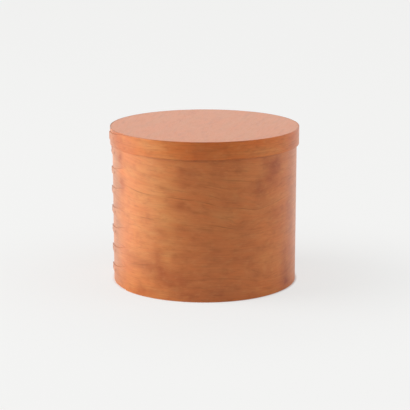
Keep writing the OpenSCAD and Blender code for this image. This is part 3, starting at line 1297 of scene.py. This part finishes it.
@dataclass
class BoxWall(LappedPart):
    """The box: its bent wall, bottom board, tacks and pegs."""

    thickness: float = 1.3 * MM
    finger_pitch: float = 25.4 * MM
    finger_count: int = 7
    first_finger: float = 18.2 * MM
    finger_length: float = 64 * MM
    tip_width: float = 6.4 * MM
    placed_lines: tuple[tuple[float, float], ...] = (
        (30, 0.6), (41.5, 0.8), (94, 0.4), (100.3, 1.0), (115, 0.5), (127.5, 1.0), (137.5, 0.6), (150.5, 0.9),
        (160, 0.6),
    )
    sways: tuple[Sway, ...] = (
        Sway(
            (
                (-90, 4), (-63, 3), (-40, 2), (-15, 3.5), (2, 0), (10, -4.5), (23, -8), (33, -12), (43, -8.4),
                (54, -3.6), (80, 0), (335, 0),
            ),
            122, 30,
        ),
        Sway(((-90, 18), (-60, 14), (-40, 6), (-12, 0), (335, 0)), 165, 42),
        Sway(((-90, 0), (80, 0), (125, 5), (170, -3), (225, 4), (285, -2), (335, 1)), 90, 80),
        Sway(((8, 0), (14, -3), (19, -7), (26, -4), (34, 0)), 97, 7),
        Sway(((-60, -3), (-46, -1.5), (-36, 1.5), (-28, 4), (-18, 0)), 42, 8),
        Sway(((-12, -2), (0, 0), (8, 1), (18, 0), (26, -3), (36, -9), (46, -10), (70, 0)), 28, 10),
    )
    # Direction, height, half length, half height and strength of each patch
    patches: tuple[Patch, ...] = (
        *patches_of(
            Trait.BLOTCH,
            # The first patch darkens the whole wall slightly towards its foot
            (0, -8, 900, 60, 0.07), (-22, 34, 32, 20, 0.06), (-30, 44, 15.1, 16.7, 0.52),
            (-24, 32, 19.7, 9.07, 0.50), (-15, 24, 21.2, 9.07, 0.36), (-29, 56, 6, 6, 0.32),
            (-14, 56, 13.7, 6.05, 0.46), (6, 54, 9.07, 6.05, 0.46), (18, 52, 10.6, 6.05, 0.24),
            (35.5, 131, 10, 13, 0.60), (34, 146, 6.05, 7.56, 0.38), (48, 169, 13, 13, 0.52),
            (45, 155, 10, 10, 0.44), (43, 149, 10.6, 7.56, 0.46), (39, 173, 7, 8, 0.45),
            (46, 150, 26, 26, 0.12), (60, 10, 12, 15, 0.80), (59, 40, 7, 14, 0.46),
            (58, 57, 4.54, 9.07, 0.30), (10, 12, 15.1, 7.56, 0.46), (-6, 9, 16.7, 7.56, 0.34),
            (-42, 10, 7.56, 7.56, 0.34), (-36, 6, 13.7, 4.54, 0.36), (-15, 89, 12.1, 7.56, 0.34),
            (-16, 120, 15.1, 7.56, 0.30), (10.5, 161, 6.05, 6.05, 0.34), (-12, 152, 15.1, 13.7, 0.22),
            (23, 97, 10.6, 7.56, 0.24), (47, 105, 13.7, 6.05, 0.26), (47, 95, 12.1, 10.6, 0.20),
            (-5, 73, 22.6, 4.54, 0.20), (29, 45, 6.05, 10.6, 0.22), (32, 26, 7.56, 9.07, 0.26),
            (-47, 45, 18, 7, 0.14), (-25, 82, 7.56, 4.54, 0.26), (56, 82, 13.7, 9.07, 0.22),
            (36, 60, 15.1, 6.05, 0.20), (-60, 136, 6, 10, 0.75), (66, 100, 11, 110, 0.30),
            (-62, 170, 6, 9, 0.85), (-50, 50, 22, 10, 0.18), (-23, 54, 7, 7, -0.50),
            (11, 106, 18, 7, -0.30),
        ),
        *patches_of(
            Trait.DULL,
            # The first five, at the left edge, are a painted sheen: the pale reflection of the bright room
            # behind on the left, seen at a grazing angle. The rest carry the same tone round the back
            (-71, 150, 25, 45, 1.00), (-74, 70, 26, 70, 0.90), (-72, 8, 30, 25, 0.40),
            (-66, 70, 14, 14, 0.35), (-60, 152, 9, 5, -0.40),
            *((direction, 100, 35, 150, 0.50) for direction in range(-100, -240, -26)),
        ),
        *patches_of(
            Trait.GOLDEN,
            # The broad patches at -36 and -24 degrees are a painted highlight where the window's light falls
            # on the wall; the small ones are yellower streaks in the wood
            (-36, 110, 42, 150, 0.80), (-24, 110, 22, 60, 0.35), (38, 90, 40, 120, 0.20),
            (-23, 54, 7, 7, 0.60), (-22, 66, 13, 6, 0.50), (22, 152, 22, 6, 0.50), (37, 154, 7, 8, 0.50),
            (11, 106, 18, 7, 0.50), (40, 114, 14, 7, 0.50), (43, 98, 6, 8, 0.40), (-26, 117, 10, 6, 0.40),
            (21, 126, 10, 5, 0.40),
        ),
        *patches_of(
            Trait.LINES,
            (-43, 133, 15, 7, 0.8), (-15, 128, 14, 5, 0.75), (3, 126, 7, 5, 0.9), (13, 122, 6, 5, 0.6),
            (24, 116, 14, 7, 0.8), (40, 114, 14, 5, 0.5), (51, 119, 10, 5, 0.5), (-12, 138, 34, 4, 0.5),
            (15, 148, 26, 6, 0.9), (23, 158, 9, 4, 0.8), (-38, 102, 11, 5, 0.7), (14, 96, 12, 6, 1.0),
            (2, 94, 18, 4, 0.6), (28, 108, 16, 4, 0.7), (-42, 42, 14, 5, 1.0), (12, 29, 42, 8, 0.6),
        ),
    )

    def build(self) -> None:
        """Makes every piece of the box."""
        _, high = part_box("side_band")
        finish = CherryStrip("oiled cherry, bent wall", placed_lines=self.placed_lines)
        fingers = [self.first_finger + i * self.finger_pitch for i in range(self.finger_count)]
        band = BentBand(
            "side_band", Body.BOX, finish, high.x - self.thickness, self.thickness, self.finger_length,
            self.tip_width, fingers, self.patches, self.sways,
        )
        tacks = (("side_tip_tacks", [self.tip_inset], 3), ("side_root_tacks", [self.root_inset], 5))
        self.assemble(band, "bottom_board", tacks, ("bottom_pegs", 7))


@dataclass
class Lid(LappedPart):
    """The lift-off lid: its bent skirt, board, tacks and pegs."""

    thickness: float = 1.2 * MM
    finger_length: float = 60 * MM
    tip_width: float = 9.4 * MM
    # The finger sits this far above the middle of the skirt, and the lap is turned this far past the wall's
    finger_rise: float = 1.2 * MM
    turn: float = math.radians(4)
    eased_edge: float = 0.2 * MM
    # Another stretch of the same wood
    grain_shift: float = 0.9
    finish: CherryStrip = CherryStrip(
        "oiled cherry, bent skirt", body_colour="CF6C2E", fibre=replace(OiledCherry.fibre, strength=0.22),
        line_spacing=3.5 * MM, line_strength=0.6, common_lines=0.8, common_share=0.35, cut_and_shade_strength=0.1,
        ior=1.42,
    )
    patches: tuple[Patch, ...] = (
        *patches_of(
            Trait.BLOTCH,
            (-66, 190, 34, 60, 0.40), (0, 190, 26, 16, 0.30), (-36, 190, 16, 20, -0.35),
            (17, 190, 20, 20, -0.35), (70, 190, 22, 40, 0.28),
        ),
        # The first is a painted highlight where the window's light falls on the skirt; the second is a
        # yellower streak in the wood
        *patches_of(Trait.GOLDEN, (-30, 190, 30, 20, 1.20), (40, 184, 50, 6, 0.80)),
        *patches_of(
            Trait.DULL,
            # The first is a painted sheen at the skirt's left edge; the rest carry the same tone round the
            # back
            (-80, 190, 58, 60, 0.95),
            *((direction, 190, 45, 60, 0.50) for direction in range(-117, -240, -30)),
        ),
    )

    def build(self) -> None:
        """Makes every piece of the lid."""
        low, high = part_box("lid_band")
        fingers = [(low.z + high.z) / 2 + self.finger_rise]
        band = BentBand(
            "lid_band", Body.LID, self.finish, high.x - self.thickness, self.thickness, self.finger_length,
            self.tip_width, fingers, self.patches, grain_shift=self.grain_shift,
            lap=Lap(tip_angle=Lap.tip_angle + self.turn), eased_edge=self.eased_edge,
        )
        tacks = (("lid_tacks", [self.tip_inset, self.root_inset], 11),)
        self.assemble(band, "lid_board", tacks, ("lid_pegs", 13))


@dataclass(frozen=True)
class Lamp:
    """One large soft lamp that points at the middle of the box."""

    name: str
    place: tuple[float, float, float]
    size: float
    power: float
    target: tuple[float, float, float] = (0.0, 0.0, 0.1)

    def build(self) -> None:
        """Hangs the lamp, out of sight of reflections: the satin would mirror its disc."""
        light = bpy.data.lights.new(self.name, "AREA")
        light.shape = "DISK"
        light.size = self.size
        light.energy = self.power
        hung = put_in_scene(self.name, light)
        hung.location = self.place
        hung.visible_glossy = False
        hung.rotation_euler = (Vector(self.target) - Vector(self.place)).to_track_quat("-Z", "Y").to_euler()


@dataclass
class Studio:
    """A pale floor, soft light that is strongest from the left, and a camera in front of the box."""

    lamps: tuple[Lamp, ...] = (
        Lamp("window_left", (-2.44, -0.15, 0.8), 2.4, 94),
        Lamp("card_right", (2.2, -0.3, 0.7), 2.0, 23.5),
    )
    fill: float = 0.36
    floor_colour: str = "F4F4F3"
    floor_half: float = 8.0
    # Share of the light on the floor that shows, and how far from the middle of the box: near it, and beyond
    near_lit: float = 0.24
    near_r: float = 0.13
    far_lit: float = 0.05
    far_r: float = 0.40
    # More of it shows right at the foot, where the box meets the floor
    contact_lit: float = 0.65
    contact_width: float = 3.5 * MM
    # How bright the surround and the floor are in reflections, in front of the box and behind it, and how far
    # forward and back they get there
    front: float = 0.05
    rear: float = 1.24
    front_from: float = -0.8
    rear_from: float = 0.5
    floor_front: float = 0.08
    floor_rear: float = 1.3
    floor_front_from: float = -1.0
    floor_rear_from: float = 0.65
    # The floor is brighter still in reflections on the window's side, clear of the box
    floor_window: float = 1.6
    window_way: tuple[float, float, float] = (-0.985, -0.174, 0.0)
    window_edge: tuple[float, float] = (0.8, 0.97)
    window_clear: tuple[float, float] = (0.08, 0.4)
    image_focal_px: float = 1430.7
    image_px: float = 410.0
    sensor: float = 36.0
    camera_place: tuple[float, float, float] = (0.0005, -1.797, 0.5173)
    camera_down: float = math.radians(13.22)

    def background_share(self, tree: bpy.types.NodeTree) -> bpy.types.Node:
        """Tells the rays that see the background, from the camera or in a reflection, from those that light.

        Args:
            tree: A material's or the world's tree.

        Returns:
            1 for the rays that see it, and 0 for the others.
        """
        seen = add(tree, "ShaderNodeLightPath").outputs
        kinds = {0: seen["Is Glossy Ray"], 1: seen["Is Transmission Ray"]}
        mirrored = add(tree, "ShaderNodeMath", kinds, operation="MAXIMUM")
        return add(tree, "ShaderNodeMath", {0: seen["Is Camera Ray"], 1: mirrored}, operation="MAXIMUM")

    def floor_lit(self, tree: bpy.types.NodeTree, away: bpy.types.Node) -> bpy.types.Node:
        """Gives the share of the light on the floor that shows.

        Args:
            tree: The floor's tree.
            away: Distance from the middle of the box.

        Returns:
            The share.
        """
        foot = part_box("side_band")[1].x
        around = {
            "Value": away, "From Min": self.near_r, "From Max": self.far_r,
            "To Min": self.near_lit, "To Max": self.far_lit,
        }
        contact = {
            "Value": away, "From Min": foot, "From Max": foot + self.contact_width,
            "To Min": self.contact_lit, "To Max": 0.0,
        }
        shares = [
            add(tree, "ShaderNodeMapRange", levels, interpolation_type="SMOOTHSTEP")
            for levels in (around, contact)
        ]
        return add(tree, "ShaderNodeMath", dict(enumerate(shares)), operation="ADD")

    def floor_mirrored(self, tree: bpy.types.NodeTree, place: Source, away: bpy.types.Node) -> bpy.types.Node:
        """Gives how bright the floor is in reflections.

        Args:
            tree: The floor's tree.
            place: The place on the floor.
            away: Distance from the middle of the box.

        Returns:
            The brightness.
        """
        way = add(tree, "ShaderNodeVectorMath", {0: place}, operation="NORMALIZE")
        to_rear = add(tree, "ShaderNodeSeparateXYZ", {"Vector": way}).outputs["Y"]
        to_window = add(tree, "ShaderNodeVectorMath", {0: way, 1: self.window_way}, operation="DOT_PRODUCT")
        behind = add(
            tree, "ShaderNodeMapRange",
            {
                "Value": to_rear, "From Min": self.floor_front_from, "From Max": self.floor_rear_from,
                "To Min": self.floor_front, "To Max": self.floor_rear,
            },
        )
        beside, clear = (
            add(
                tree, "ShaderNodeMapRange",
                {"Value": value, "From Min": low, "From Max": high, "To Max": most},
                interpolation_type="SMOOTHSTEP",
            )
            for value, (low, high), most in (
                (to_window, self.window_edge, self.floor_window), (away, self.window_clear, 1.0),
            )
        )
        return add(tree, "ShaderNodeMath", {0: beside, 1: clear, 2: behind}, operation="MULTIPLY_ADD")

    def floor(self) -> None:
        """Lays the pale floor, which shows a share of the light on it and so keeps the box's shadow."""
        half = self.floor_half
        mesh = bpy.data.meshes.new("floor")
        corners = [(-half, -half, 0), (half, -half, 0), (half, half, 0), (-half, half, 0)]
        mesh.from_pydata(corners, [], [(0, 1, 2, 3)])
        laid = put_in_scene("floor", mesh)
        finish, tree, _ = new_finish("matt pale floor")
        tree.nodes.clear()
        colour = linear(self.floor_colour)
        place = add(tree, "ShaderNodeNewGeometry").outputs["Position"]
        away = add(tree, "ShaderNodeVectorMath", {0: place}, operation="LENGTH")
        mirrored = add(tree, "ShaderNodeLightPath").outputs["Is Glossy Ray"]
        strengths = {"Factor": mirrored, "A": 1.0, "B": self.floor_mirrored(tree, place, away)}
        strength = add(tree, "ShaderNodeMix", strengths, data_type="FLOAT")
        lit = add(tree, "ShaderNodeBsdfDiffuse", {"Color": colour})
        plain = add(tree, "ShaderNodeEmission", {"Color": colour, "Strength": strength})
        shares = {"Factor": self.floor_lit(tree, away), "A": self.background_share(tree), "B": 0.0}
        shown = add(tree, "ShaderNodeMix", shares, data_type="FLOAT")
        mixed = add(tree, "ShaderNodeMixShader", {0: shown, 1: lit, 2: plain})
        add(tree, "ShaderNodeOutputMaterial", {"Surface": mixed})
        mesh.materials.append(finish)

    def surround(self) -> None:
        """Sets the even fill, and a surround that reflects brighter behind the box than in front of it."""
        world = bpy.data.worlds.new("studio")
        world.use_nodes = True
        tree = world.node_tree
        tree.nodes.clear()
        way = add(tree, "ShaderNodeTexCoord").outputs["Generated"]
        to_rear = add(tree, "ShaderNodeSeparateXYZ", {"Vector": way}).outputs["Y"]
        behind = add(
            tree, "ShaderNodeMapRange",
            {
                "Value": to_rear, "From Min": self.front_from, "From Max": self.rear_from,
                "To Min": self.front, "To Max": self.rear,
            },
            interpolation_type="SMOOTHSTEP",
        )
        strengths = {"Factor": self.background_share(tree), "A": self.fill, "B": behind}
        strength = add(tree, "ShaderNodeMix", strengths, data_type="FLOAT")
        light = add(tree, "ShaderNodeBackground", {"Color": (1.0, 1.0, 1.0, 1.0), "Strength": strength})
        add(tree, "ShaderNodeOutputWorld", {"Surface": light})
        bpy.context.scene.world = world

    def camera(self) -> None:
        """Stands the camera where it was for the picture."""
        lens = bpy.data.cameras.new("camera")
        lens.sensor_fit = "HORIZONTAL"
        lens.sensor_width = self.sensor
        lens.lens = self.image_focal_px / self.image_px * self.sensor
        stood = put_in_scene("camera", lens)
        stood.location = self.camera_place
        stood.rotation_euler = (math.pi / 2 - self.camera_down, 0.0, 0.0)
        bpy.context.scene.camera = stood

    def build(self) -> None:
        """Sets up the whole studio."""
        bpy.context.scene.view_settings.view_transform = "Standard"
        self.floor()
        self.surround()
        self.camera()
        for lamp in self.lamps:
            lamp.build()


def main() -> None:
    """Builds the studio, the box and the lid."""
    logging.basicConfig(level=logging.INFO, format="%(name)s: %(message)s")
    Studio().build()
    finishes = Finishes()
    BoxWall(finishes).build()
    Lid(finishes).build()


if __name__ == "__main__":
    main()
